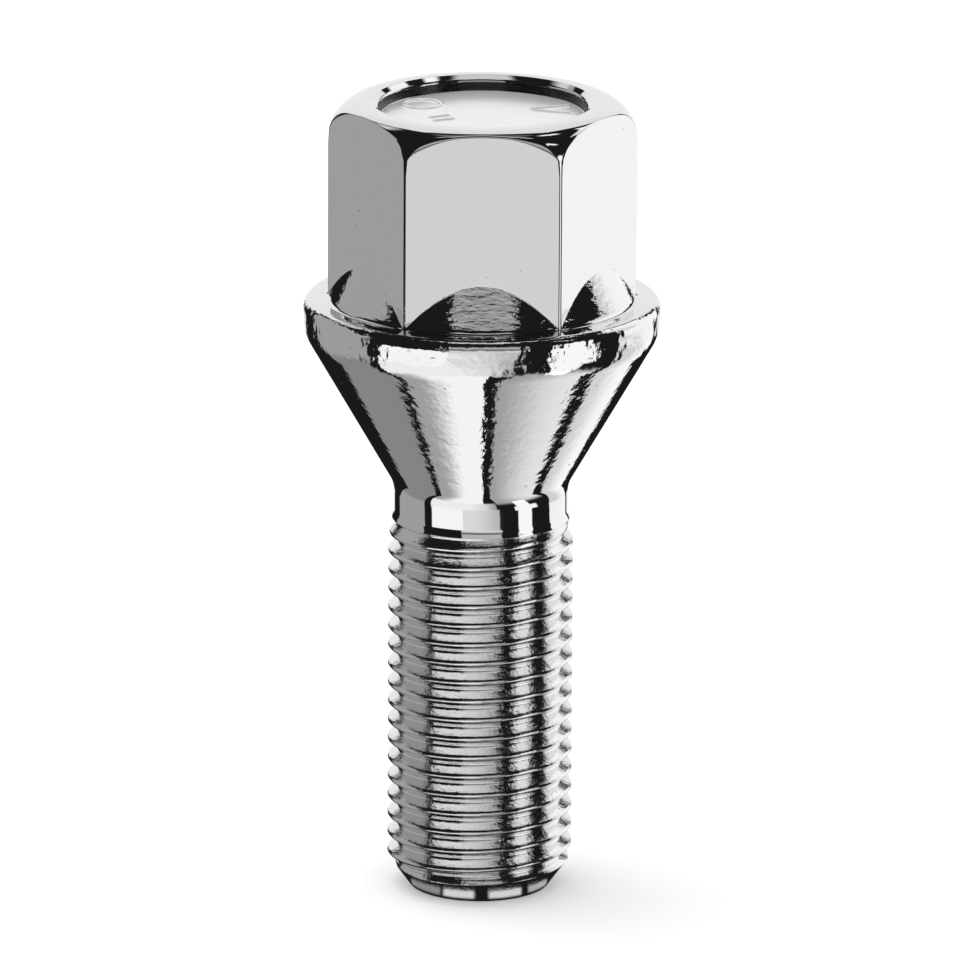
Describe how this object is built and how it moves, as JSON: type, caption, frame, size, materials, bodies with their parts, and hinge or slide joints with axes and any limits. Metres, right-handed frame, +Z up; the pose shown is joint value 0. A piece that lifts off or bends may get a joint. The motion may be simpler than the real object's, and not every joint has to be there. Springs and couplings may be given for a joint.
{
  "type": "wheel bolt",
  "caption": "Wheel bolt in bright chrome: hexagon head with a shallow round recess, rounded collar, conical face that centres the wheel, plain neck and fine threaded shank.",
  "frame": {"origin": "centre of the flat end of the tip, on the surface that the bolt stands on", "axes": "+Z up the bolt's axis, from the tip to the head; -Y out of one flat of the hexagon, so a corner points along +X"},
  "size_m": [0.0226, 0.0226, 0.0516],
  "materials": {
    "chrome_plating": "bright chrome plating on forged steel: mirror-smooth on the flats, faintly rippled on the cone, finely scuffed on the thread"
  },
  "bodies": {
    "root": {"wheel_bolt": "chrome_plating"}
  },
  "joints": []
}
